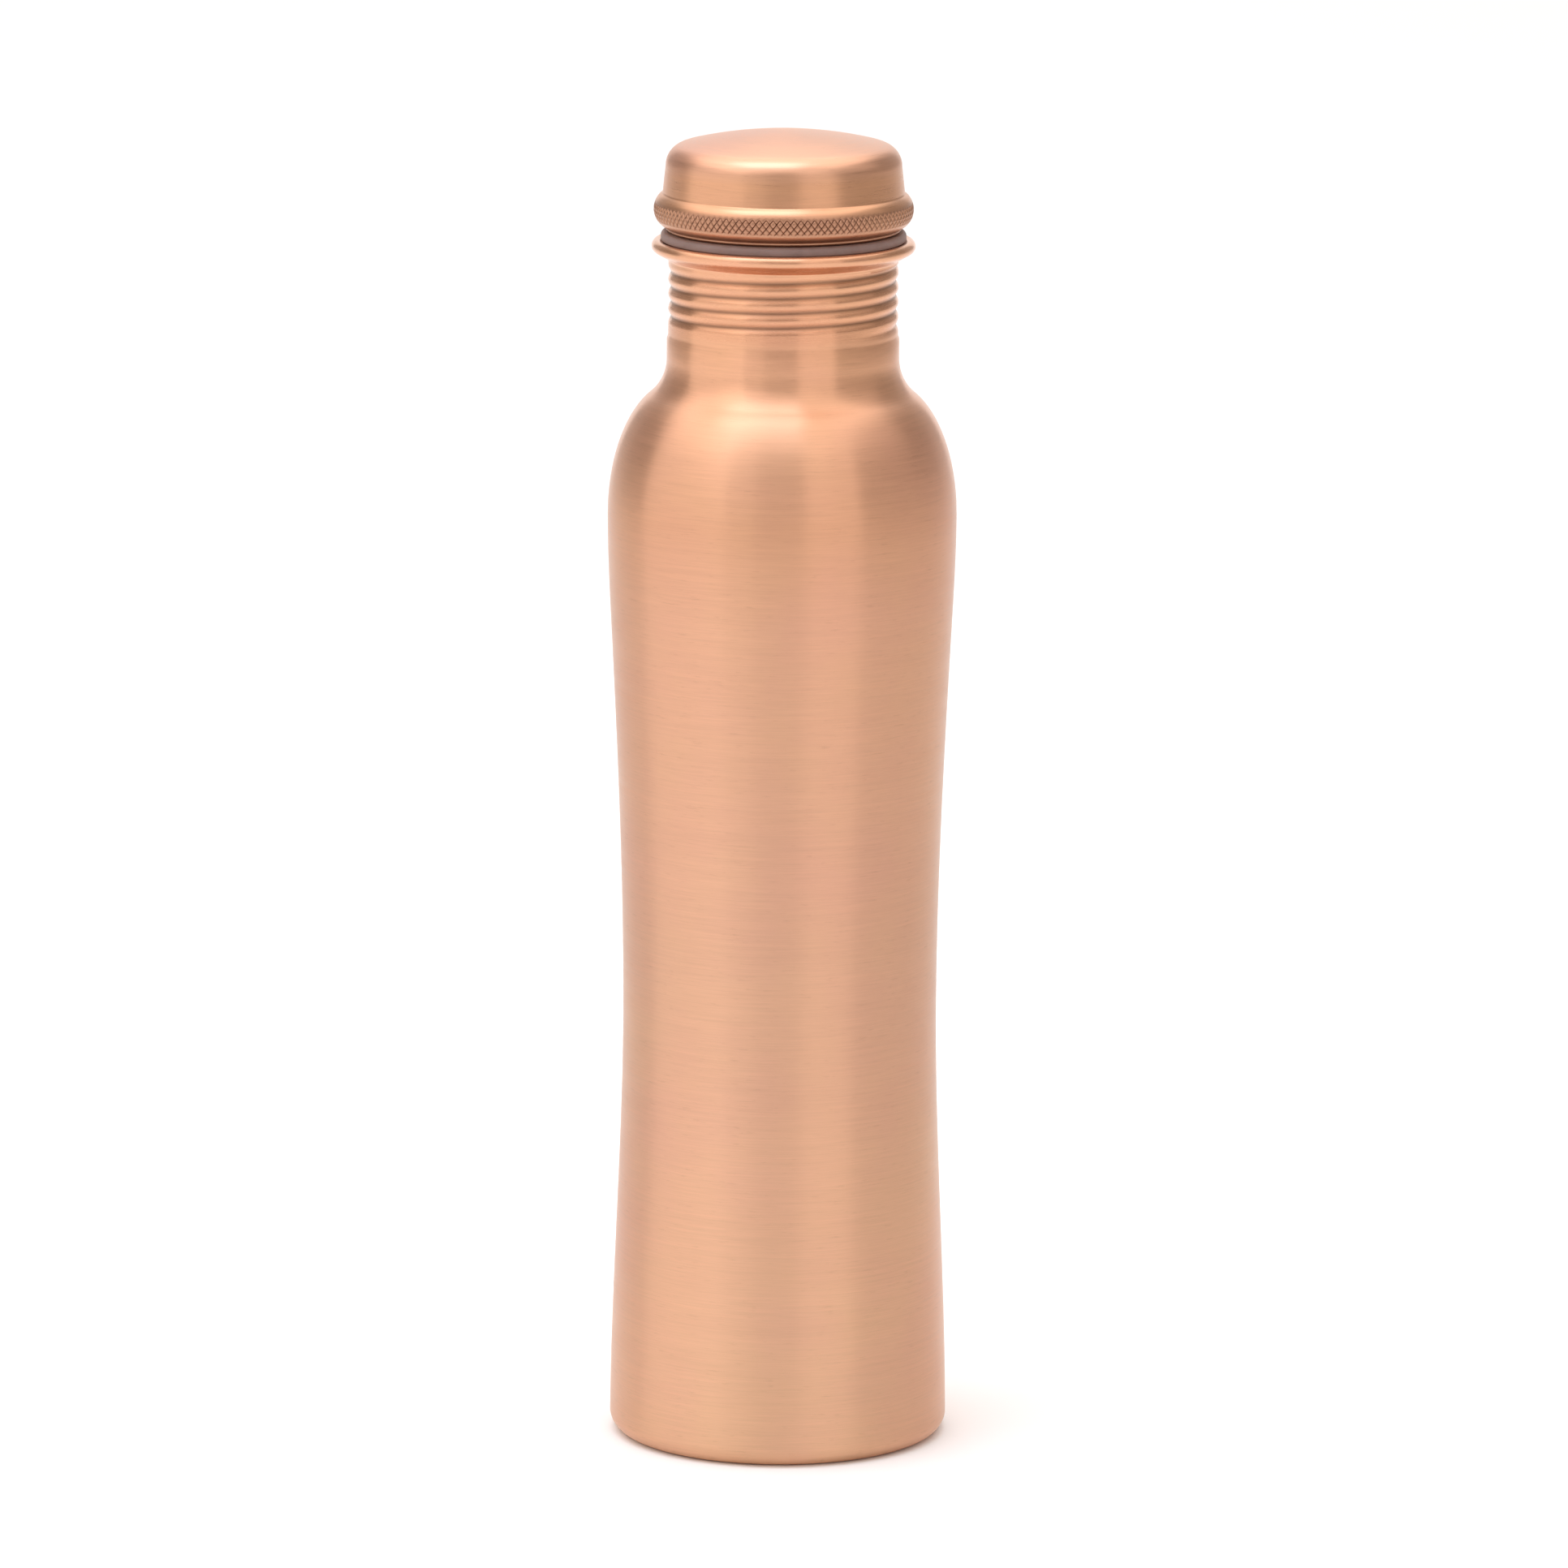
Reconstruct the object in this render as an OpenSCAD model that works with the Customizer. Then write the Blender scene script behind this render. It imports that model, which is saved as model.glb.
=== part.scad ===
// Copper water bottle: a spun shell with a rolled neck thread, closed by a screw cap
// that carries a threaded plug and seals on a silicone ring. Millimetres, +Z up,
// origin at the centre of the ring that the bottle stands on.

/* [Shell] */
// Thickness of the copper sheet
sheet_t = 0.5; // [0.4:0.05:0.6]
// Radius of the wall just above the base corner
base_r = 36.95; // [34:0.05:42]
// Radius of the corner between the base and the wall
base_corner_r = 4.2; // [2:0.1:7]
// Radius of the hollow pushed up into the base
recess_r = 26; // [15:0.5:28]
// Height of that hollow at its centre
recess_h = 1.6; // [0.5:0.1:4]
// Slope of the wall just above the corner, as radius change per height
base_slope = -0.008; // [-0.05:0.001:0]
// Height of the narrow waist
waist_z = 95.3; // [80:0.1:110]
// Radius at the waist
waist_r = 34.25; // [30:0.05:36]
// Height where the long flank above the waist is straightest
flank_z = 184.7; // [160:0.1:190]
// Radius at that height
flank_r = 37.25; // [35:0.05:39]
// Slope of the flank there, as radius change per height
flank_slope = 0.051; // [0:0.001:0.08]
// Height of the widest ring, under the shoulder
belly_z = 204.2; // [195:0.1:206]
// Radius of the widest ring
belly_r = 37.85; // [36:0.05:41]

/* [Shoulder and neck] */
// Width of the shoulder's elliptical quarter
shoulder_w = 14.6; // [12:0.1:17]
// Height of that quarter
shoulder_h = 28.3; // [25:0.1:31]
// How far round the ellipse the shoulder runs, in degrees
shoulder_end = 67; // [60:1:72]
// Outer radius of the plain band of the neck
neck_r = 25.15; // [25:0.05:26]
// Height at which the neck draws in to the thread
neck_top_z = 242.6; // [242:0.1:242.8]

/* [Screw thread] */
// Rise of the thread in one turn
thread_pitch = 3.2; // [3:0.05:3.4]
// Depth of the rolled groove
thread_depth = 0.6; // [0.4:0.05:0.7]
// Outer radius of the neck between the grooves
crest_r = 24.85; // [24.6:0.05:25.1]
// Height of the groove's centre where the lowest turn starts
groove_z = 245.4; // [245:0.1:245.8]
// Direction in which the lowest turn starts, in degrees from +X
groove_deg = 300; // [0:5:355]
// Turns of the groove round the neck
groove_turns = 4.28; // [3.5:0.01:4.35]
// Angle over which the groove runs out at each end
groove_fade = 80; // [40:5:120]
// Radial gap between the plug's thread and the neck's
thread_gap = 0.25; // [0.2:0.01:0.35]

/* [Rim] */
// Radius of the circle that the rolled rim's centre follows
rim_c_r = 27.15; // [27:0.05:27.5]
// Height of the rolled rim's centre
rim_c_z = 262.8; // [262.7:0.05:263.1]
// Radius of the rolled rim's round section
rim_roll_r = 1.35; // [1.25:0.05:1.4]
// Angle of the flare under the rim, from level
rim_flare = 29; // [25:1:33]

/* [Cap] */
// Height of the cap's lower edge
cap_z = 266.05; // [266:0.05:266.3]
// Height of the crown of the dome
crown_z = 287.55; // [286:0.05:292]
// Spherical radius of the dome
dome_r = 90; // [50:1:140]
// Radius of the cap's wall at its top
cap_top_r = 25.5; // [25:0.05:25.7]
// Radius of the cap's wall where it meets the grip ring
cap_wall_r = 26.1; // [25.9:0.05:26.3]
// Radius of the rounded edge between wall and dome
cap_edge_r = 4.7; // [2:0.1:6]
// Outer radius of the knurled grip ring
grip_r = 28.05; // [27.8:0.05:28.6]
// Height of the middle of the grip ring
grip_z = 270.8; // [270.5:0.05:271.5]
// Height of the grip ring above and below its middle
grip_h = 4; // [3.8:0.05:4.1]
// Thickness of the cap's sheet
cap_t = 0.55; // [0.5:0.05:0.6]

/* [Plug and seal] */
// Height of the plug's closed bottom
plug_z = 245; // [244.5:0.1:246]
// Thickness of the plug's sheet
plug_t = 0.5; // [0.4:0.05:0.6]
// Outer radius of the silicone ring
seal_r = 26.5; // [26:0.05:26.6]
// Radius of the ring's rounded upper edge
seal_edge_r = 0.9; // [0.5:0.1:1.2]
// Gap that keeps the ring off the rim and the cap off the ring
seal_gap = 0.05; // [0.03:0.01:0.1]

/* [Hidden] */
$fn = 144;
copper = [0.82, 0.56, 0.40];
silicone = [0.46, 0.36, 0.31];
// Threaded walls: facets round, facets up one turn, and the roundness of the groove's foot
thread_sides = 48;
thread_steps = 8;
groove_round = 0.25;
// Threaded walls: how far their ends reach into the plain walls, and clear of their faces
root_length = 0.3;
root_gap = 0.04;

// ---- Outlines in [radius, height] ----

function unit(v) = v / norm(v);

// Points on an ellipse about c with semi-axes s, from angle a0 to a1
function arc(c, s, a0, a1, n) = [
    for (i = [0:n])
        let (a = a0 + (a1 - a0) * i / n)
        [c.x + s.x * cos(a), c.y + s.y * sin(a)]
];

// A smooth wall from p to q whose slopes, dr/dz, are mp and mq at its ends
function wall(p, q, mp, mq, n) = [
    for (i = [1:n])
        let (
            t = i / n,
            h = q.y - p.y,
            r = (2 * pow(t, 3) - 3 * pow(t, 2) + 1) * p.x
                + (pow(t, 3) - 2 * pow(t, 2) + t) * h * mp
                + (3 * pow(t, 2) - 2 * pow(t, 3)) * q.x
                + (pow(t, 3) - pow(t, 2)) * h * mq
        )
        [r, p.y + h * t]
];

// Left-hand normal of a path at point i
function normal(path, i) =
    let (d = unit(path[min(i + 1, len(path) - 1)] - path[max(i - 1, 0)]))
    [-d.y, d.x];

// Closed outline of a sheet of thickness t that lies to the left of a path
function sheet(path, t) = concat(
    path,
    [
        for (i = [len(path) - 1:-1:0])
            let (p = path[i] + t * normal(path, i))
            [max(0, p.x), p.y]
    ]
);

// An ellipse from a0 to a1, then a hollow fillet that ends upright at radius r
function swell(c, s, a0, a1, r, n) =
    let (
        e = c + [s.x * cos(a1), s.y * sin(a1)],
        d = unit([cos(a1) / s.x, sin(a1) / s.y]),
        f = (e.x - r) / (1 - d.x),
        a = atan2(d.y, d.x) - 180
    )
    concat(arc(c, s, a0, a1, n), arc(e + f * d, [f, f], a, -180, 6));

// ---- Thread: one right-hand groove, rolled into the wall of a tube ----

// Turns from the groove's lower end to the point of the helix level with height z
function helix_turns(a, z) = (z - groove_z) / thread_pitch - (a - groove_deg) / 360;

// Depth of the groove, 0 to 1, at v turns from its centre
function groove_shape(v) =
    let (high = sqrt(1 + pow(groove_round, 2)))
    1 - (sqrt(pow(sin(180 * v), 2) + pow(groove_round, 2)) - groove_round) / (high - groove_round);

// How much of the thread is left at t turns of a thread that is whole turns long
function run_out(t, whole) =
    let (u = max(0, min(1, 360 * t / groove_fade, 360 * (whole - t) / groove_fade)))
    u * u * (3 - 2 * u);

// Radius of the neck's outer face, hollowed by the groove
function neck_face(a, z) =
    let (
        h = helix_turns(a, z),
        k = round(h),
        t = k + (a - groove_deg) / 360
    )
    crest_r - thread_depth * groove_shape(h - k) * run_out(t, groove_turns);

// Radius of the plug's outer face, raised between the turns of the groove
function plug_face(a, z) =
    let (
        h = helix_turns(a, z),
        k = floor(h),
        t = k + (a - groove_deg) / 360 - ridge_start
    )
    plug_r + thread_depth * (1 - groove_shape(h - k)) * run_out(t, ridge_turns);

// Height of ring i of n in a threaded tube from z0 to z1, whose end rings reach past it
function ring_z(z0, z1, i, n) =
    i == 0
        ? z0 - root_length
        : i == n - 1
            ? z1 + root_length
            : z0 + root_gap + (z1 - z0 - 2 * root_gap) * (i - 1) / (n - 3);

// Rings of points on a threaded face, with two plain rings at each end
function face_points(face, plain, inset, z0, z1, n) = [
    for (i = [0:n - 1], j = [0:thread_sides - 1])
        let (
            a = 360 * j / thread_sides,
            z = ring_z(z0, z1, i, n),
            r = i < 2 || i > n - 3 ? plain : face(a, z) - inset
        )
        [r * cos(a), r * sin(a), z]
];

// Triangles between the rings of one face, whose first point has index s
function face_rows(s, n, inside) = [
    for (i = [0:n - 2], j = [0:thread_sides - 1])
        let (
            a = s + i * thread_sides + j,
            b = s + i * thread_sides + (j + 1) % thread_sides,
            c = a + thread_sides,
            d = b + thread_sides
        )
        each inside ? [[a, b, c], [b, d, c]] : [[a, c, b], [b, c, d]]
];

// Triangles of the flat end between an outer ring from o and an inner ring from p
function end_ring(o, p, top) = [
    for (j = [0:thread_sides - 1])
        let (k = (j + 1) % thread_sides)
        each top
            ? [[o + j, p + j, o + k], [p + j, p + k, o + k]]
            : [[o + j, o + k, p + j], [p + j, o + k, p + k]]
];

// A tube of sheet t whose wall follows face(a, z), with plain ends of radius r that are
// a little thinner than the sheet, so that each is rooted inside the plain wall it meets
module threaded_tube(face, r, t, z0, z1) {
    n = ceil((z1 - z0) / thread_pitch * thread_steps) + 3;
    inner = n * thread_sides;
    last = (n - 1) * thread_sides;
    flat_depth = r * (1 - cos(180 / thread_sides));
    polyhedron(
        points = concat(
            face_points(face, r - root_gap, 0, z0, z1, n),
            face_points(face, r - t + flat_depth + root_gap, t, z0, z1, n)
        ),
        faces = concat(
            face_rows(0, n, false),
            face_rows(inner, n, true),
            end_ring(0, inner, false),
            end_ring(last, inner + last, true)
        )
    );
}

// ---- Derived sizes ----

// Angle on the shoulder's ellipse at which it takes over from the flank
shoulder_start = 6;
// Rim: outer and inner bends of the flare, and the length of the tucked-in tail
flare_fillet_r = 0.6;
mouth_bend_r = 0.4;
rim_tail = 1.3;
flare_dir = [cos(rim_flare), sin(rim_flare)];
flare_up = [-sin(rim_flare), cos(rim_flare)];
flare_end = [rim_c_r, rim_c_z] - rim_roll_r * flare_up;
flare_c = [
    crest_r + flare_fillet_r,
    flare_end.y + ((crest_r + flare_fillet_r - flare_end.x) * flare_dir.y - flare_fillet_r) / flare_dir.x
];
mouth_c = [
    rim_c_r - rim_roll_r - mouth_bend_r,
    flare_end.y
        + ((rim_c_r - rim_roll_r - mouth_bend_r - flare_end.x) * flare_dir.y + sheet_t + mouth_bend_r)
            / flare_dir.x
];
// Threaded stretch of the neck, and the plain stretch below it
neck_thread_z = groove_z - thread_pitch / 2;
neck_head_z = flare_c.y - root_length;
neck_plain_h = 0.5;
// Plug: wall radius below the thread, foot corner, threaded stretch, and bend at its head
plug_r = crest_r - sheet_t - thread_depth - thread_gap;
plug_corner_r = 1.5;
plug_plain_h = 0.4;
plug_thread_z = plug_z + plug_corner_r + plug_plain_h;
plug_head_z = 260.1;
plug_bend_r = 0.6;
ridge_start = (plug_thread_z - groove_z) / thread_pitch;
ridge_turns = (plug_head_z - plug_thread_z) / thread_pitch - 1;
// Cap: half width of the grip ring's ellipse, its ends, and the lip turned in below it
grip_w = 3.67;
grip_low = -73;
grip_high = 58;
lip_bend_r = 0.75;
lip_gap = 0.05;
lip_r = plug_r + plug_bend_r + lip_gap;
// Width of the plug's flange that is brazed to the top of the lip
flange_w = 0.5;
// Seal: slack round the plug, and the height at which its lower face clears the rim
seal_slack = 0.3;
seal_z = rim_c_z + sqrt(pow(rim_roll_r, 2) - pow(rim_c_r - seal_r, 2)) + seal_gap;
seal_top_z = cap_z - seal_gap;
seal_foot_r = 0.3;

// ---- Paths of the outer faces ----

recess_sphere_r = (pow(recess_r, 2) + pow(recess_h, 2)) / (2 * recess_h);
recess_angle = asin(recess_r / recess_sphere_r);

// Bottle from the middle of its base to the foot of the neck's thread
shell_path = concat(
    arc([0, recess_h - recess_sphere_r], recess_sphere_r * [1, 1], 90, 90 - recess_angle, 8),
    arc([base_r - base_corner_r, base_corner_r], base_corner_r * [1, 1], -90, 0, 10),
    wall([base_r, base_corner_r], [waist_r, waist_z], base_slope, 0, 14),
    wall([waist_r, waist_z], [flank_r, flank_z], 0, flank_slope, 14),
    wall([flank_r, flank_z], [belly_r, belly_z], flank_slope, 0, 6),
    swell(
        [belly_r - shoulder_w, belly_z],
        [shoulder_w, shoulder_h],
        shoulder_start,
        shoulder_end,
        neck_r,
        14
    ),
    [
        [neck_r, neck_top_z],
        [crest_r, neck_thread_z - neck_plain_h],
        [crest_r, neck_thread_z]
    ]
);

// Rim from the head of the neck's thread: out along the flare, up, over and under
rim_path = concat(
    [[crest_r, neck_head_z]],
    arc(flare_c, flare_fillet_r * [1, 1], 180, 90 + rim_flare, 5),
    arc(mouth_c, (mouth_bend_r + sheet_t) * [1, 1], rim_flare - 90, 0, 6),
    arc([rim_c_r, rim_c_z], (rim_roll_r - sheet_t) * [1, 1], 180, rim_flare - 90, 24),
    [flare_end + sheet_t * flare_up - rim_tail * flare_dir]
);

// Plug below and above its thread
plug_foot_path = concat(
    [[0, plug_z]],
    arc([plug_r - plug_corner_r, plug_z + plug_corner_r], plug_corner_r * [1, 1], -90, 0, 6),
    [[plug_r, plug_thread_z]]
);
plug_head_path = concat(
    [[plug_r, plug_head_z]],
    arc([plug_r + plug_bend_r, cap_z + cap_t - plug_bend_r], plug_bend_r * [1, 1], 180, 90, 5),
    [[lip_r + flange_w, cap_z + cap_t]]
);

// Cap from the edge of its lip, round the grip ring and up to the crown
edge_c = [
    cap_top_r - cap_edge_r,
    crown_z - dome_r + sqrt(pow(dome_r - cap_edge_r, 2) - pow(cap_top_r - cap_edge_r, 2))
];
edge_angle = atan2(edge_c.y - crown_z + dome_r, edge_c.x);
dome_step = 1.5;
grip_c = [grip_r - grip_w, grip_z];
lip_end = grip_c + [grip_w * cos(grip_low), grip_h * sin(grip_low)];
cap_path = concat(
    [[lip_r, cap_z]],
    arc([lip_end.x - lip_bend_r, cap_z + lip_bend_r], lip_bend_r * [1, 1], -90, 0, 6),
    swell(grip_c, [grip_w, grip_h], grip_low, grip_high, cap_wall_r, 20),
    arc(edge_c, cap_edge_r * [1, 1], 0, edge_angle, 10),
    arc([0, crown_z - dome_r], dome_r * [1, 1], edge_angle + dome_step, 90, 12)
);

// ---- Pieces ----

// Spun copper shell in one piece: base, wall, shoulder, threaded neck and rolled rim
module bottle() {
    color(copper) {
        rotate_extrude() polygon(sheet(shell_path, sheet_t));
        threaded_tube(function(a, z) neck_face(a, z), crest_r, sheet_t, neck_thread_z, neck_head_z);
        rotate_extrude() polygon(sheet(rim_path, sheet_t));
    }
}

// Drawn copper cap with a domed top, a grip ring and a lip turned in under the ring
module cap_shell() {
    color(copper)
        rotate_extrude() polygon(sheet(cap_path, cap_t));
}

// Copper cup under the cap, closed below, with the rolled thread that fits the neck
module cap_plug() {
    color(copper) {
        rotate_extrude() polygon(sheet(plug_foot_path, plug_t));
        threaded_tube(function(a, z) plug_face(a, z), plug_r, plug_t, plug_thread_z, plug_head_z);
        rotate_extrude() polygon(sheet(plug_head_path, plug_t));
    }
}

// Silicone ring that stays on the plug, between the cap's lip and the rim
module gasket() {
    color(silicone)
        rotate_extrude()
            polygon(concat(
                [[plug_r + seal_slack, seal_top_z], [plug_r + seal_slack, seal_z]],
                arc([seal_r - seal_foot_r, seal_z + seal_foot_r], seal_foot_r * [1, 1], -90, 0, 4),
                arc([seal_r - seal_edge_r, seal_top_z - seal_edge_r], seal_edge_r * [1, 1], 0, 90, 8)
            ));
}

bottle();
cap_shell();
cap_plug();
gasket();
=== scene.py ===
# %% [markdown]
# # A copper water bottle
# The real bottle is spun from one sheet of copper, brushed while it turns, and closed by a
# screw cap that squeezes a silicone ring. Everything is round, so almost every piece here is
# one outline carried round the vertical axis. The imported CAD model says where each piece
# sits and how it moves; this script makes finer surfaces in the same places.

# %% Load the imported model
import bpy
import numpy as np
from mathutils import Euler, Matrix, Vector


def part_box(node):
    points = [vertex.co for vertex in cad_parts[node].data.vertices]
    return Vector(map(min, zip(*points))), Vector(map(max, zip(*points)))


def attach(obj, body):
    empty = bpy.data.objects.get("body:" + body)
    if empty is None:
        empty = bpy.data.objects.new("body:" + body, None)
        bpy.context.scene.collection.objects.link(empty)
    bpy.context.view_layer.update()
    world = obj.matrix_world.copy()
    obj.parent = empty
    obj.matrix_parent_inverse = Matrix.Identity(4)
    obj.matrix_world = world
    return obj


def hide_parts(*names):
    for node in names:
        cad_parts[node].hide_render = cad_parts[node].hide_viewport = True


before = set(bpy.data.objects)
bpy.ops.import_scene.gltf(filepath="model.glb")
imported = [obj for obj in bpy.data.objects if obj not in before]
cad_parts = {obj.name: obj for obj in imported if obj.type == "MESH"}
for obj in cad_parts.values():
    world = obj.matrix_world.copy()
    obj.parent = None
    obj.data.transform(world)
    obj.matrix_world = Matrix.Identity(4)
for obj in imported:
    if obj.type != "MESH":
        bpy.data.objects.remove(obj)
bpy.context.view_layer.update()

MM = 0.001
shell_low, shell_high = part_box("bottle")
cap_low, cap_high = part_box("cap_shell")
plug_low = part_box("cap_plug")[0]
seal_low, seal_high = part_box("gasket")
print("bottle is", round((shell_high[0] - shell_low[0]) / MM, 1), "mm across")

# %% [markdown]
# ## Outlines
# An outline is a list of points (radius, height) in millimetres. Round stretches are arcs of
# an ellipse, and the long gentle walls are cubic curves that start and end with a chosen
# slope, which is how a spun wall looks: no corners, and no flat where two curves meet.

# %% Outline helpers


def arc(centre, size, start, stop, count):
    """Centre plus size times (cos a, sin a), for count angles a from start to stop, in
    degrees. Size is a circle's radius, or an ellipse's two half axes."""
    size = np.broadcast_to(size, 2)
    a = np.radians(np.linspace(start, stop, count))
    return np.stack([centre[0] + size[0] * np.cos(a), centre[1] + size[1] * np.sin(a)], 1)


def wall(low, high, slope_low, slope_high, count):
    """The cubic in height that leaves the point low and reaches the point high with the given
    slopes, radius over height. Low itself is left out, because the outline has it already."""
    t = np.linspace(0, 1, count + 1)[1:]
    rise = high[1] - low[1]
    r = (2 * t**3 - 3 * t**2 + 1) * low[0] + (t**3 - 2 * t**2 + t) * rise * slope_low
    r += (3 * t**2 - 2 * t**3) * high[0] + (t**3 - t**2) * rise * slope_high
    return np.stack([r, low[1] + rise * t], 1)


def swell(centre, size, start, stop, radius, count):
    """An elliptical arc, then a hollow fillet tangent to it that ends upright at that radius.
    The fillet's own radius is the arc's last radius less that one, over 1 less the outward
    part of the arc's last normal."""
    a = np.radians(stop)
    end = np.array([centre[0] + size[0] * np.cos(a), centre[1] + size[1] * np.sin(a)])
    out = np.array([np.cos(a) / size[0], np.sin(a) / size[1]])
    out /= np.linalg.norm(out)
    fillet = (end[0] - radius) / (1 - out[0])
    back = np.degrees(np.arctan2(out[1], out[0])) - 180
    hollow = arc(end + fillet * out, fillet, back, -180, count // 2)
    return np.concatenate([arc(centre, size, start, stop, count), hollow[1:]])


def offset(path, depth):
    """Each point moved by depth to the left of the path, square to the line that joins its
    neighbours, and never past the axis."""
    step = np.empty_like(path)
    step[1:-1] = path[2:] - path[:-2]
    step[0] = path[1] - path[0]
    step[-1] = path[-1] - path[-2]
    step /= np.linalg.norm(step, axis=1, keepdims=True)
    moved = path + depth * np.stack([-step[:, 1], step[:, 0]], 1)
    return np.maximum(moved, [0, -1])


print("outline helpers ready")

# %% [markdown]
# ## From an outline to a mesh
# Turning an outline round the axis gives a grid of points: one row for each outline point and
# one column for each direction. A Spin or Screw modifier could do that, but a thread and a
# knurl need the radius to change with the direction too, so the grid is worked out as whole
# arrays. Rows that lie on the axis shrink to a single point, which closes the ends. How deep
# each point was pressed in is kept as an attribute, so a finish can paint shade into the grooves.

# %% Turn an outline into a closed mesh
SHARP_ANGLE = 50  # degrees


def turned(name, path, columns, press=None, joined=False):
    """Point (i, j) is outline point i carried round to direction j. Where press is given, it
    turns (radius, height, direction) into the pressed radius, the pressed height and the
    depth from 0 to 1. joined closes the outline on itself instead of on the axis."""
    turn = np.linspace(0, 2 * np.pi, columns, endpoint=False)[None, :]
    radius = np.repeat(path[:, :1], columns, 1)
    height = np.repeat(path[:, 1:], columns, 1)
    depth = np.zeros_like(radius)
    if press is not None:
        radius, height, depth = press(radius, height, turn)
    grid = np.stack([radius * np.cos(turn), radius * np.sin(turn), height], 2) * MM
    index = np.arange(radius.size).reshape(radius.shape)
    if joined:
        lower, upper = index, np.roll(index, -1, 0)
    else:
        index[0] = index[0, 0]
        index[-1] = index[-1, 0]
        lower, upper = index[:-1], index[1:]
    a, b = lower, np.roll(lower, -1, 1)
    d, c = upper, np.roll(upper, -1, 1)
    # Each four-sided cell is split along its deeper diagonal, so fine grooves stay straight
    inward = radius.ravel()
    across = (inward[a] + inward[c] < inward[b] + inward[d])[..., None]
    first = np.where(across, np.stack([a, b, c], 2), np.stack([a, b, d], 2))
    second = np.where(across, np.stack([a, c, d], 2), np.stack([b, c, d], 2))
    faces = np.concatenate([first.reshape(-1, 3), second.reshape(-1, 3)])
    faces = faces[(faces != np.roll(faces, 1, 1)).all(1)]
    used, faces = np.unique(faces, return_inverse=True)
    faces = faces.reshape(-1, 3)
    mesh = bpy.data.meshes.new(name)
    mesh.vertices.add(len(used))
    mesh.vertices.foreach_set("co", grid.reshape(-1, 3)[used].astype(np.float32).ravel())
    mesh.loops.add(faces.size)
    mesh.loops.foreach_set("vertex_index", faces.astype(np.int32).ravel())
    mesh.polygons.add(len(faces))
    mesh.polygons.foreach_set("loop_start", np.arange(0, faces.size, 3, dtype=np.int32))
    mesh.polygons.foreach_set("use_smooth", np.ones(len(faces), dtype=bool))
    pressed = mesh.attributes.new("pressed", "FLOAT", "POINT")
    pressed.data.foreach_set("value", depth.ravel()[used].astype(np.float32))
    mesh.update(calc_edges=True)
    mesh.set_sharp_from_angle(angle=np.radians(SHARP_ANGLE))
    piece = bpy.data.objects.new(name, mesh)
    bpy.context.scene.collection.objects.link(piece)
    print(name, "has", len(faces), "triangles")
    return piece


# %% [markdown]
# ## The screw thread
# The neck's thread isn't cut. A roller presses a helical groove into the thin wall, so the
# same wave shows outside and inside. The height above the groove's lowest point, counted in
# turns, tells where on the wave a point lies, and the depth fades out at both ends of the
# helix, as it does where a roller is eased in and out.

# %% Groove of the neck and ridge of the plug
SHEET = 0.5
PITCH = 3.2
GROOVE_DEPTH = 0.6
GROOVE_START = 300.0  # direction in degrees
GROOVE_HEIGHT = 245.4
GROOVE_TURNS = 4.28
FADE = 80.0  # degrees at each end
FOOT_ROUND = 0.25
RIM_SIDE = 25.0  # the rim lies outside this radius
BOTTOM_SIDE = 20.0  # the plug's bottom lies inside this radius


def helix_turns(height, turn):
    """Around is the direction in turns from the groove's start. Up is the height above the
    start over the pitch, less around: it is whole in the groove's middle."""
    around = (np.degrees(turn) - GROOVE_START) / 360
    return (height - GROOVE_HEIGHT) / PITCH - around, around


def groove_shape(off):
    """1 in the groove's middle and 0 half a turn away: 1 less a sine's size, with the foot
    rounded by adding a small square under the root."""
    e = FOOT_ROUND
    top = np.sqrt(1 + e * e)
    return 1 - (np.sqrt(np.sin(np.pi * off) ** 2 + e * e) - e) / (top - e)


def run_out(along, whole):
    """Smooth step from 0 to 1 over the fading angle at each end of a thread of whole turns."""
    u = np.clip(np.minimum(along, whole - along) * 360 / FADE, 0, 1)
    return u * u * (3 - 2 * u)


def press_groove(low, high):
    """Moves the neck in by the groove's depth times its share, between the two heights."""

    def press(radius, height, turn):
        up, around = helix_turns(height, turn)
        nearest = np.round(up)
        share = groove_shape(up - nearest) * run_out(nearest + around, GROOVE_TURNS)
        neck_here = (height > low) & (height < high) & (radius < RIM_SIDE)
        share = np.where(neck_here, share, 0)
        return radius - GROOVE_DEPTH * share, height, share

    return press


def press_ridge(low, high):
    """Moves the plug's wall out between the turns of the groove, and leaves it in under them."""
    start = (low - GROOVE_HEIGHT) / PITCH
    whole = (high - low) / PITCH - 1

    def press(radius, height, turn):
        up, around = helix_turns(height, turn)
        below = np.floor(up)
        share = (1 - groove_shape(up - below)) * run_out(below + around - start, whole)
        wall_here = (height > low) & (height < high) & (radius > BOTTOM_SIDE)
        share = np.where(wall_here, share, 0)
        return radius + GROOVE_DEPTH * share, height, np.where(wall_here, 1 - share, 0)

    return press


print("thread rises", round(GROOVE_TURNS * PITCH, 1), "mm over its whole length")

# %% [markdown]
# ## The bottle
# One sheet is drawn into a tall cup, spun to the waist and shoulder, threaded, flared at the
# mouth and curled over into a hollow bead. The outline follows the sheet's outer face up from
# the centre of the base, goes into the curl and back over it, and returns down the inner
# face. The edge of the curl is tapered and lies against the flare, which leaves the fine
# seam line that a rolled rim shows underneath.

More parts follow.
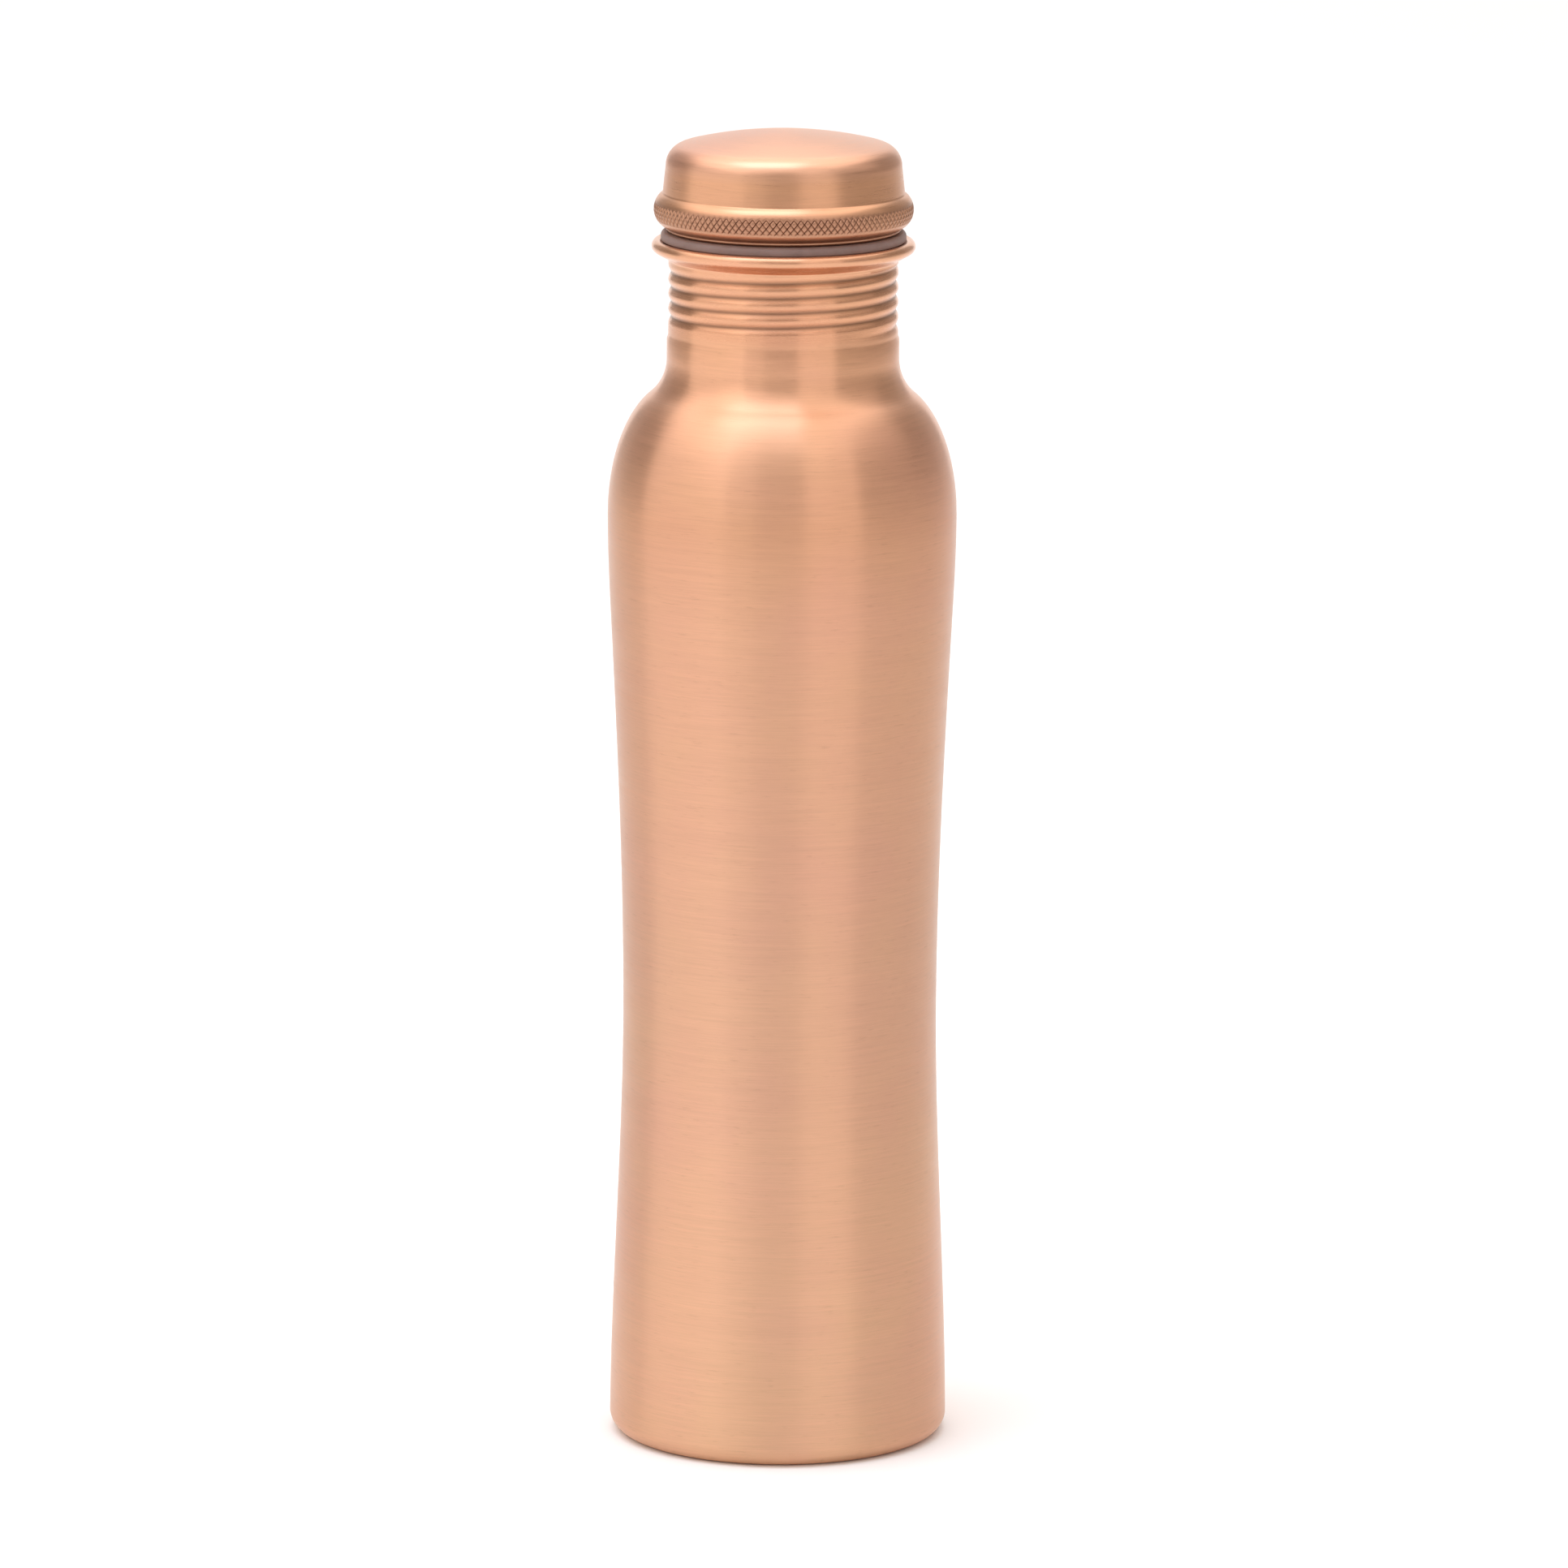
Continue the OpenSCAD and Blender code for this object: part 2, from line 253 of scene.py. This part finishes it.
# %% Sizes of the bottle
# Radii (r) and heights (z) in millimetres, angles in degrees, centres (c) as points
base_r, corner_r = 36.95, 4.2
hollow_depth, hollow_r, hollow_angle = 1.6, 212.05, 7.044
waist_r, waist_z = 34.25, 95.3
flank_r, flank_z = 37.25, 184.7
foot_slope, flank_slope = -0.008, 0.051
belly_r, belly_z = shell_high[0] / MM, 204.2
shoulder_size, shoulder_start, shoulder_stop = (14.6, 28.3), 6, 67
neck_r, neck_z = 25.15, 242.6
crest_r, lead_r, lead_z = 24.85, 0.02, 0.5  # the thread's crests, and the step up to them
plain_strip = 0.3  # between the thread and the flare
fillet_r, bend_r = 0.6, 0.4  # under the flare, and where the rim starts to curl
bead_r, bead_c = 1.35, np.array([27.15, 262.8])
FLARE = 29
seam_gap, seam_start, seam_stop = 0.02, 3, -49  # the curl's tapered edge
print("waist is", round(100 * waist_r / belly_r), "% of the widest radius")

# %% The flared mouth
along_flare = np.array([np.cos(np.radians(FLARE)), np.sin(np.radians(FLARE))])
above_flare = np.array([-np.sin(np.radians(FLARE)), np.cos(np.radians(FLARE))])
over, under = 90 + FLARE, FLARE - 90
bead_foot = bead_c - bead_r * above_flare


def beside_flare(radius, away):
    """The point at this radius that lies away above the line of the flare's lower face."""
    fall = (radius - bead_foot[0]) * along_flare[1] + away
    return np.array([radius, bead_foot[1] + fall / along_flare[0]])


fillet_c = beside_flare(crest_r + fillet_r, -fillet_r)
bend_c = beside_flare(bead_c[0] - bead_r - bend_r, SHEET + bend_r)
neck_low, neck_high = GROOVE_HEIGHT - PITCH / 2, fillet_c[1] - plain_strip
print("neck's straight part is", round(neck_high - neck_low, 1), "mm tall")

# %% Outline of the bottle
lower_wall = np.concatenate([
    arc((0, hollow_depth - hollow_r), hollow_r, 90, 90 - hollow_angle, 10),
    arc((base_r - corner_r, corner_r), corner_r, -90, 0, 14),
    wall((base_r, corner_r), (waist_r, waist_z), foot_slope, 0, 30),
    wall((waist_r, waist_z), (flank_r, flank_z), 0, flank_slope, 30),
    wall((flank_r, flank_z), (belly_r, belly_z), flank_slope, 0, 8),
])
shoulder_c = (belly_r - shoulder_size[0], belly_z)
shoulder = swell(shoulder_c, shoulder_size, shoulder_start, shoulder_stop, neck_r, 36)
neck = np.concatenate([
    [[neck_r, neck_z], [crest_r + lead_r, neck_low - lead_z]],
    np.linspace((crest_r, neck_low), (crest_r, neck_high), 78),
])
rim_out = np.concatenate([
    arc(fillet_c, fillet_r, 180, over, 6),
    arc(bend_c, bend_r + SHEET, under, 0, 7),
    arc(bead_c, bead_r - SHEET, 180, under, 14),
    arc(bend_c, bend_r + SHEET + seam_gap, seam_start, seam_stop, 6),
])
rim_back = np.concatenate([
    arc(bead_c, bead_r, under, 180, 30),
    arc(bend_c, bend_r, 0, under, 5),
    arc(fillet_c, fillet_r + SHEET, over, 180, 5),
])
inner_r = crest_r - SHEET
inner_neck = np.linspace((inner_r, neck_high), (inner_r, neck_low), 52)
outer_wall = np.concatenate([lower_wall[::2], shoulder[::2], neck[:1]])
inner_wall = offset(outer_wall, SHEET)[::-1]
bottle_path = np.concatenate([
    lower_wall, shoulder, neck, rim_out, rim_back, inner_neck, inner_wall])
print("outline of the bottle has", len(bottle_path), "points")

# %% Bottle mesh
bottle_shell = turned("bottle_shell", bottle_path, 232, press_groove(neck_low, neck_high))
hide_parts("bottle")
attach(bottle_shell, "bottle")

# %% [markdown]
# ## The cap
# The dome and wall are drawn from one disc, and the foot is swaged out into a round grip
# ring. A pair of knurling wheels then rolls two crossing sets of slanted grooves round the
# ring, which leaves a band of small diamonds. A grid whose steps are an eighth of a diamond
# both ways puts grid points exactly on the grooves, so they stay crisp with few faces.

# %% Diamond knurl
DIAMONDS = 117
DIAMOND_HEIGHT = 1.9
KNURL_DEPTH = 0.26
KNURL_WIDTH = 0.19  # half a groove's width
KNURL_FADE = 0.3  # at the band's upper and lower edges
SECOND_BITE = 0.8  # the second wheel's depth against the first's
ON_RING = 0.01  # how near the ring a point must lie
grip_c, grip_size = np.array([24.38, 270.8]), np.array([3.67, 4.0])
grip_mean = grip_size.mean()
knurl_middle = -0.55  # along the ring, from its widest point
knurl_low, knurl_high = 268.6, 272.4


def press_knurl(radius, height, turn):
    """Pushes the ring in along its normal where the two slanted families of lines run. With u
    counting diamonds round the ring and v counting them up it, the lines are at whole u + v
    and whole u - v, and the depth falls in a straight V to 0 at the groove's half width."""
    scaled = (np.stack([radius, height], 2) - grip_c) / grip_size
    lean = np.arctan2(scaled[..., 1], scaled[..., 0])
    away = np.abs(np.hypot(scaled[..., 0], scaled[..., 1]) - 1)
    on_ring = (away < ON_RING) & (radius > grip_c[0])
    u = (turn + np.pi / 2) * DIAMONDS / (2 * np.pi) + 0.5
    v = (lean * grip_mean - knurl_middle) / DIAMOND_HEIGHT
    around = 2 * np.pi * radius
    square = around * DIAMOND_HEIGHT / np.hypot(DIAMONDS * DIAMOND_HEIGHT, around)
    first, second = (
        np.clip(1 - np.abs(w - np.round(w)) * square / KNURL_WIDTH, 0, 1) for w in (u - v, u + v))
    edge = np.minimum(height - knurl_low, knurl_high - height)
    share = np.maximum(first, SECOND_BITE * second) * np.clip(edge / KNURL_FADE, 0, 1) * on_ring
    out = np.stack([np.cos(lean), np.sin(lean)], 2) / grip_size
    out /= np.linalg.norm(out, axis=2, keepdims=True)
    push = KNURL_DEPTH * share
    return radius - push * out[..., 0], height - push * out[..., 1], share


knurl_r = grip_c[0] + grip_size[0]
print(DIAMONDS, "diamonds, each", round(2 * np.pi * knurl_r / DIAMONDS, 2), "mm wide")

# %% Outline of the cap
CAP_SHEET = 0.55
cap_z, crown_z = round(cap_low[2] / MM, 3), cap_high[2] / MM
dome_r, wall_top_r, edge_r = 90.0, 25.5, 4.7
wall_foot_r = 26.1
lip_r, lip_bend = 24.15, 0.75
ring_foot, below_knurl, above_knurl, ring_top = -73, -38, 27, 58
edge_c = np.array([wall_top_r - edge_r, 0])
edge_c[1] = crown_z - dome_r + np.sqrt((dome_r - edge_r) ** 2 - edge_c[0] ** 2)
edge_top = np.degrees(np.arctan2(edge_c[1] - crown_z + dome_r, edge_c[0]))
knurl_rows = (knurl_middle + DIAMOND_HEIGHT / 8 * np.arange(-7, 10)) / grip_mean
ring_angles = np.radians(np.concatenate([
    np.linspace(ring_foot, below_knurl, 8),
    np.degrees(knurl_rows),
    np.linspace(above_knurl, ring_top, 8),
]))
ring = grip_c + grip_size * np.stack([np.cos(ring_angles), np.sin(ring_angles)], 1)
fillet_from = 14  # the swell's first points repeat the ring, so only its fillet is kept
above_ring = swell(grip_c, grip_size, 0, ring_top, wall_foot_r, fillet_from)[fillet_from:]
lip = arc((ring[0, 0] - lip_bend, cap_z + lip_bend), lip_bend, -90, 0, 7)
edge = arc(edge_c, edge_r, 0, edge_top, 10)
dome = arc((0, crown_z - dome_r), dome_r, edge_top, 90, 14)[1:]
cap_out = np.concatenate([[[lip_r, cap_z]], lip, ring[1:], above_ring, edge, dome])
# The inside is plain, so it follows fewer of the points
cap_sparse = np.concatenate([
    cap_out[:8:2], ring[2:-1:3], above_ring[::2], edge[::2], dome[::3]])
cap_path = np.concatenate([offset(cap_sparse, CAP_SHEET)[::-1], cap_out])
print("outline of the cap has", len(cap_path), "points")

# %% Cap mesh
cap_dome = turned("cap_dome", cap_path, DIAMONDS * 8, press_knurl)
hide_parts("cap_shell")
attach(cap_dome, "cap")

# %% [markdown]
# ## The plug
# A thin cup, joined to the cap's lip by its flange, carries the thread that screws into the
# neck. It only shows when the cap is off. Its ridge lies in the neck's thread with a small gap
# all round, so it uses the same helix, pressed outwards between the turns.

# %% Plug mesh
THREAD_GAP = 0.25
plug_z = plug_low[2] / MM
plug_r = crest_r - SHEET - GROOVE_DEPTH - THREAD_GAP
plug_thread_low, plug_thread_high = plug_z + 1.9, 260.1
plug_corner, plug_bend = 1.5, 0.6
flange_z, flange_r = cap_z + CAP_SHEET, lip_r + 0.5
corner_c = (plug_r - plug_corner, plug_z + plug_corner)
plug_bend_c = (plug_r + plug_bend, flange_z - plug_bend)
plug_path = np.concatenate([
    [[0, plug_z]],
    arc(corner_c, plug_corner, -90, 0, 8),
    np.linspace((plug_r, plug_thread_low), (plug_r, plug_thread_high), 68),
    arc(plug_bend_c, plug_bend, 180, 90, 6),
    [[flange_r, flange_z], [flange_r, flange_z + SHEET]],
    arc(plug_bend_c, plug_bend + SHEET, 90, 180, 6),
    np.linspace((plug_r - SHEET, plug_thread_high), (plug_r - SHEET, plug_thread_low), 50),
    arc(corner_c, plug_corner - SHEET, 0, -90, 6),
    [[0, plug_z + SHEET]],
])
plug_ridge = press_ridge(plug_thread_low, plug_thread_high)
thread_plug = turned("thread_plug", plug_path, 240, plug_ridge)
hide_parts("cap_plug")
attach(thread_plug, "cap")

# %% [markdown]
# ## The seal
# The silicone ring is squeezed between the cap's lip and the rim. It is moulded, with a small
# radius at its foot and a larger one above, where it bulges from under the cap.

# %% Seal mesh
seal_z, seal_top = seal_low[2] / MM, seal_high[2] / MM
seal_r, seal_bore_r = seal_high[0] / MM, plug_r + 0.3
seal_foot, seal_bulge = 0.3, 0.9
seal_path = np.concatenate([
    [[seal_bore_r, seal_top], [seal_bore_r, seal_z]],
    arc((seal_r - seal_foot, seal_z + seal_foot), seal_foot, -90, 0, 5),
    arc((seal_r - seal_bulge, seal_top - seal_bulge), seal_bulge, 0, 90, 9),
])
seal_ring = turned("seal_ring", seal_path, 240, joined=True)
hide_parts("gasket")
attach(seal_ring, "seal")

# %% [markdown]
# ## Writing a finish
# A finish is a node tree. Wrapping a socket in a small class lets plain arithmetic build it:
# every operator adds one Math node, and anything else comes from one method that sets a
# node's options first and then its inputs.

# %% Finish helpers


class Signal:
    """One output socket. Arithmetic on it adds Math nodes to the finish it belongs to."""

    def __init__(self, finish, socket):
        self.finish, self.socket = finish, socket

    def math(self, operation, first, second):
        """A Math node that does the operation on the two values."""
        settings = {"operation": operation}
        return self.finish.node("ShaderNodeMath", settings, {0: first, 1: second})

    def __add__(self, other):
        return self.math("ADD", self, other)

    def __radd__(self, other):
        return self.math("ADD", other, self)

    def __sub__(self, other):
        return self.math("SUBTRACT", self, other)

    def __rsub__(self, other):
        return self.math("SUBTRACT", other, self)

    def __mul__(self, other):
        return self.math("MULTIPLY", self, other)

    def __rmul__(self, other):
        return self.math("MULTIPLY", other, self)

    def __truediv__(self, other):
        return self.math("DIVIDE", self, other)

    def __rtruediv__(self, other):
        return self.math("DIVIDE", other, self)

    def __pow__(self, other):
        return self.math("POWER", self, other)

    def __rpow__(self, other):
        return self.math("POWER", other, self)


class Finish:
    """A material, its main shader, and the object coordinates that every pattern starts from.
    A keyword is a socket of the shader, with _ for each space in its name."""

    def __init__(self, name, **fixed):
        self.material = bpy.data.materials.new(name)
        self.material.use_nodes = True
        self.tree = self.material.node_tree
        self.shader = self.tree.nodes["Principled BSDF"]
        for socket, value in fixed.items():
            self.shader.inputs[socket.replace("_", " ")].default_value = value
        place = self.node("ShaderNodeTexCoord", {}, {}, "Object")
        apart = self.tree.nodes.new("ShaderNodeSeparateXYZ")
        self.tree.links.new(place.socket, apart.inputs[0])
        self.place = place
        self.x, self.y, self.z = (Signal(self, socket) for socket in apart.outputs)
        self.ring = (self.x * self.x + self.y * self.y) ** 0.5

    def node(self, kind, settings, inputs, output=0):
        """Any node: its options are set first, then its inputs, and one output comes back."""
        made = self.tree.nodes.new(kind)
        for key, value in settings.items():
            setattr(made, key, value)
        for key, value in inputs.items():
            self.feed(made.inputs[key], value)
        return Signal(self, made.outputs[output])

    def feed(self, socket, value):
        """Links a signal to the socket, or writes a plain value into it."""
        if isinstance(value, Signal):
            self.tree.links.new(value.socket, socket)
        else:
            socket.default_value = value

    def mix(self, share, first, second, blend="MIX"):
        """The first colour at share 0 and the second at 1. Inputs 6 and 7 and output 2 are the
        colour ones."""
        settings = {"data_type": "RGBA", "blend_type": blend}
        return self.node("ShaderNodeMix", settings, {0: share, 6: first, 7: second}, 2)

    def ramp(self, value, low, high, first=0.0, second=1.0):
        """A straight change from first to second as value goes from low to high."""
        inputs = {0: value, 1: low, 2: high, 3: first, 4: second}
        return self.node("ShaderNodeMapRange", {"clamp": True}, inputs)

    def noise(self, vector, scale, detail, rough):
        """Cloudy noise from 0 to 1: scale is its lumps in a metre, detail how many finer layers
        it has, and rough how strong each is against the one before."""
        inputs = {"Vector": vector, "Scale": scale, "Detail": detail, "Roughness": rough}
        return self.node("ShaderNodeTexNoise", {}, inputs)

    def rings(self, across, sweep):
        """Noise drawn out into rings: across is the line spacing in metres, and sweep is how
        fast a line changes on its way round. Height less radius counts up walls and domes."""
        place = {
            0: self.x / self.ring * sweep,
            1: self.y / self.ring * sweep,
            2: (self.z - self.ring) / across,
        }
        return self.noise(self.node("ShaderNodeCombineXYZ", {}, place), 1.0, 4.0, 0.6)

    def by_height(self, stages):
        """Colour and roughness that change with height. A stage is a height in millimetres, a
        colour and a roughness, and the ramp carries the roughness in its alpha."""
        low, high = stages[0][0] * MM, stages[-1][0] * MM
        ramp = self.node("ShaderNodeValToRGB", {}, {0: self.ramp(self.z, low, high)})
        stops = ramp.socket.node.color_ramp.elements
        for number, (height, colour, rough) in enumerate(stages):
            at = (height * MM - low) / (high - low)
            stop = stops[number] if number < 2 else stops.new(at)
            stop.position, stop.color = at, (*colour, rough)
        return ramp, Signal(self, ramp.socket.node.outputs["Alpha"])

    def output(self, **inputs):
        """Feeds the main shader's sockets, named as above, and returns the material."""
        for socket, value in inputs.items():
            self.feed(self.shader.inputs[socket.replace("_", " ")], value)
        return self.material


print("finish helpers ready")

# %% [markdown]
# ## Brushed copper
# The bottle is brushed while it turns, so the scratches run round it. Each scratch is a tiny
# valley, which spreads a highlight up and down the wall but hardly sideways: that is what the
# anisotropic setting does. The scratches also show as fine rings of slightly different
# brightness. Bare copper takes on rose and tan patches where hands and air reach it. The
# bottoms of grooves get painted shade: the deeper a point was pressed, the darker it is drawn.

# %% Brushed copper finish
ROSE, TAN = (1.0, 0.93, 1.06, 1), (0.96, 1.04, 0.98, 1)
ROUND = 0.25  # the part of a turn that lays the scratches round the axis


def brushed_copper(name, stages, stretch, fade):
    """Copper whose colour and roughness follow the stages up the piece, with rose and tan
    drifts, rings, and short darker scratches. Stretch, from 0 to 1, is how far the scratches
    draw a highlight out, up and down the wall. Pressed depth to the power fade is how much
    painted shade a groove gets."""
    copper = Finish(name, Metallic=1.0, Anisotropic=stretch, Anisotropic_Rotation=ROUND)
    fine = copper.rings(across=0.00022, sweep=3.0) - 0.5
    middle = copper.rings(across=0.0009, sweep=1.5) - 0.5
    broad = copper.rings(across=0.006, sweep=0.6) - 0.5
    scratch = copper.ramp(copper.rings(across=0.0004, sweep=9.0), 0.60, 0.72)
    cloud = copper.noise(copper.place, 26.0, 4.0, 0.55)
    patch = copper.noise(copper.place, 9.0, 2.0, 0.5)
    pressed = copper.node("ShaderNodeAttribute", {"attribute_name": "pressed"}, {}, "Fac")
    # Painted shade: the deeper a point was pressed into a groove, the darker its colour and the
    # rougher it is.
    painted_groove_shade = pressed ** fade
    colour, roughness = copper.by_height(stages)
    colour = copper.mix(copper.ramp(cloud, 0.42, 0.70, 0.0, 0.5), colour, ROSE, "MULTIPLY")
    colour = copper.mix(copper.ramp(patch, 0.44, 0.66, 0.0, 0.6), colour, TAN, "MULTIPLY")
    shade = 1 + 0.24 * fine + 0.16 * middle + 0.08 * broad
    shade = shade * (1 - 0.10 * scratch) * (1 - 0.55 * painted_groove_shade)
    grey = copper.node("ShaderNodeCombineColor", {}, {0: shade, 1: shade, 2: shade})
    colour = copper.mix(1.0, colour, grey, "MULTIPLY")
    roughness = roughness + 0.12 * fine + 0.12 * middle + 0.06 * (cloud - 0.5) + 0.12 * painted_groove_shade
    height = 0.7 * fine + 0.3 * middle
    relief = {"Strength": 0.25, "Distance": 0.00004, "Height": height}
    bump = copper.node("ShaderNodeBump", {}, relief)
    return copper.output(Base_Color=colour, Roughness=roughness, Normal=bump)


print("brushed copper ready")

# %% [markdown]
# ## Stages of the copper
# A stage is a height in millimetres, a colour and a roughness. The straight wall is brushed
# coarse and pale. The shoulder and neck are smoother and a little redder, with a darker band
# of painted shade where the wall meets the shoulder and a paler, bluer painted highlight
# higher up, and the thread and rim are burnished by the rollers that made them. On the cap,
# the knurled band is darker, painted shade for its grooves, and the dome is paler, a painted
# highlight.

# %% Copper on each piece
shell_stages = [
    (0, (0.745, 0.432, 0.276), 0.42),
    (110, (0.690, 0.400, 0.260), 0.42),
    (185, (0.690, 0.386, 0.243), 0.40),
    # Painted shade: the stage at 206 mm is darker, where the wall meets the shoulder.
    (206, (0.665, 0.352, 0.212), 0.36),
    # Painted highlight: the stage at 225 mm is paler and bluer, on the shoulder.
    (225, (0.735, 0.400, 0.248), 0.33),
    (244.4, (0.725, 0.382, 0.227), 0.31),
    (245.6, (0.700, 0.355, 0.208), 0.26),
    (265, (0.725, 0.375, 0.228), 0.25),
]
cap_stages = [
    (268.2, (0.58, 0.300, 0.185), 0.34),
    # Painted shade: the knurled band from 268.9 to 272.2 mm is darker.
    (268.9, (0.46, 0.235, 0.147), 0.36),
    (272.2, (0.46, 0.235, 0.147), 0.36),
    (273.2, (0.69, 0.360, 0.212), 0.30),
    (279, (0.69, 0.360, 0.212), 0.30),
    # Painted highlight: the dome from 282 mm up is paler and less saturated.
    (282, (0.71, 0.385, 0.255), 0.34),
    (288, (0.71, 0.390, 0.265), 0.34),
]
plug_stages = [
    (245, (0.68, 0.345, 0.195), 0.28),
    (267, (0.70, 0.355, 0.205), 0.24),
]
for piece, name, stages, stretch, fade in [
    (bottle_shell, "brushed_copper_shell", shell_stages, 0.9, 2.5),
    (cap_dome, "brushed_copper_cap", cap_stages, 0.3, 1.8),
    (thread_plug, "brushed_copper_plug", plug_stages, 0.6, 2.5),
]:
    piece.data.materials.append(brushed_copper(name, stages, stretch, fade))
print(len(bottle_shell.data.materials[0].node_tree.nodes), "nodes in the shell's finish")

# %% [markdown]
# ## Silicone
# The seal is grey-brown, matt and slightly see-through, and a faint bloom makes it uneven. A
# little light scattered under the surface keeps it from looking like paint.

# %% Silicone finish
DARK_SILICONE, PALE_SILICONE = (0.215, 0.140, 0.122, 1), (0.275, 0.185, 0.163, 1)
silicone = Finish("silicone", Subsurface_Weight=0.15, Subsurface_Scale=0.002, IOR=1.41)
bloom = silicone.noise(silicone.place, 180.0, 5.0, 0.6)
grain = silicone.noise(silicone.place, 2600.0, 2.0, 0.5)
seal_colour = silicone.mix(silicone.ramp(bloom, 0.35, 0.7), DARK_SILICONE, PALE_SILICONE)
seal_relief = {"Strength": 0.3, "Distance": 0.00005, "Height": grain}
seal_bump = silicone.node("ShaderNodeBump", {}, seal_relief)
seal_ring.data.materials.append(silicone.output(
    Base_Color=seal_colour, Roughness=0.46 + 0.12 * bloom, Normal=seal_bump))
print("silicone finish on", seal_ring.name)

# %% [markdown]
# ## Floor
# One large flat face is enough for a sheet of white paper. Its tone drifts very slightly, as
# paper's does.

# %% Floor
floor_mesh = bpy.data.meshes.new("floor")
reach = 9.0
corners = [(-reach, -reach, 0), (reach, -reach, 0), (reach, reach, 0), (-reach, reach, 0)]
floor_mesh.from_pydata(corners, [], [(0, 1, 2, 3)])
floor = bpy.data.objects.new("floor", floor_mesh)
bpy.context.scene.collection.objects.link(floor)
paper = Finish("white_paper", IOR=1.3)
fibre = paper.noise(paper.place, 3.0, 2.0, 0.5)
paper_tone = paper.mix(fibre, (0.93, 0.93, 0.93, 1), (0.95, 0.95, 0.95, 1))
floor.data.materials.append(paper.output(Base_Color=paper_tone, Roughness=0.9 + 0.05 * fibre))
print("floor is", 2 * reach, "m wide")

# %% [markdown]
# ## Light
# Polished metal shows mostly what stands round it, so the light is as much a part of the look
# as the finish. A pale warm surround gives an even base. Upright soft lights stand round the
# bottle. The large ones on the left and right draw the long bright bands on the wall, weaker
# ones in front soften the darker gap between the bands, high ones at the sides reach the
# shoulder, and the ones behind brighten the edges and the background. Three level ones hang
# overhead: a wide one for the shoulder and the dome, a small cool one for the pale highlight
# on the shoulder, and a ceiling further up that keeps the floor white.

# %% Surround
SURROUND_COLOUR, SURROUND_STRENGTH = (1.0, 0.91, 0.845, 1), 0.42
world = bpy.data.worlds.new("surround")
bpy.context.scene.world = world
world.use_nodes = True
background = world.node_tree.nodes["Background"]
background.inputs["Color"].default_value = SURROUND_COLOUR
background.inputs["Strength"].default_value = SURROUND_STRENGTH
bpy.context.scene.view_settings.view_transform = "Standard"
print("surround has strength", SURROUND_STRENGTH)

# %% Soft lights
WHITE, WARM, COOL = (1, 1, 1), (1.0, 0.96, 0.94), (0.80, 0.97, 1.25)


def soft_light(name, bearing, far, height, width, length, bright, tint, upright):
    """A flat lamp whose middle is at this height and at far times (sin b, -cos b), for a
    bearing b in degrees right of the camera. Upright it faces the bottle, and otherwise the
    floor. Its power in watts is its brightness times pi times its area."""
    lamp = bpy.data.lights.new(name, "AREA")
    lamp.shape = "RECTANGLE"
    lamp.size, lamp.size_y = width, length
    lamp.energy = bright * np.pi * width * length
    lamp.color = tint
    holder = bpy.data.objects.new(name, lamp)
    turn = np.radians(bearing)
    holder.location = (far * np.sin(turn), -far * np.cos(turn), height)
    holder.rotation_euler = (np.pi / 2, 0, turn) if upright else (0, 0, 0)
    bpy.context.scene.collection.objects.link(holder)


# Name, bearing, distance, height, width, length, brightness, tint
upright_lights = [
    ("left_soft_light", -72, 2.0, 1.2, 2.5, 2.4, 0.66, WHITE),
    ("left_fill_light", -30, 2.0, 1.0, 0.85, 2.0, 0.38, WHITE),
    ("front_fill_light", -2, 2.6, 1.2, 1.4, 2.4, 0.14, WHITE),
    ("right_soft_light", 34, 2.0, 1.0, 1.4, 2.0, 0.58, WARM),
    ("right_high_light", 80, 2.2, 1.85, 2.6, 1.5, 0.34, WARM),
    ("left_high_light", -118, 2.2, 2.1, 1.6, 1.4, 0.22, WARM),
    ("back_wide_light", 180, 3.3, 2.0, 6.2, 4.0, 0.10, WHITE),
    ("back_soft_light", 180, 3.2, 2.5, 2.6, 5.0, 0.57, WHITE),
]
level_lights = [
    ("top_soft_light", -50, 0.9, 2.2, 4.8, 4.4, 0.78, WARM),
    ("shoulder_soft_light", -42, 0.6, 2.1, 1.5, 1.2, 1.5, COOL),
    ("ceiling_light", 180, 1.8, 3.4, 6.0, 6.0, 0.60, WHITE),
]
for row in upright_lights:
    soft_light(*row, upright=True)
for row in level_lights:
    soft_light(*row, upright=False)

# %% [markdown]
# ## Camera
# A long lens from more than two metres away keeps the walls nearly parallel. It looks down a
# little, which opens the ellipses of the rim and the cap.

# %% Camera
FOCAL_MM, SENSOR_MM = 238.05, 36
STAND = (0.0007, -2.2165, 0.5856)
LOOK_DOWN, ROLL = 11.26, 0.3  # degrees
lens = bpy.data.cameras.new("camera")
lens.lens, lens.sensor_width = FOCAL_MM, SENSOR_MM
camera = bpy.data.objects.new("camera", lens)
camera.location = STAND
tilt = Euler((np.radians(90 - LOOK_DOWN), 0, 0)).to_matrix()
camera.rotation_euler = (tilt @ Matrix.Rotation(np.radians(ROLL), 3, "Z")).to_euler()
bpy.context.scene.collection.objects.link(camera)
bpy.context.scene.camera = camera
print("camera is", round(-STAND[1], 2), "m away and looks", LOOK_DOWN, "degrees down")
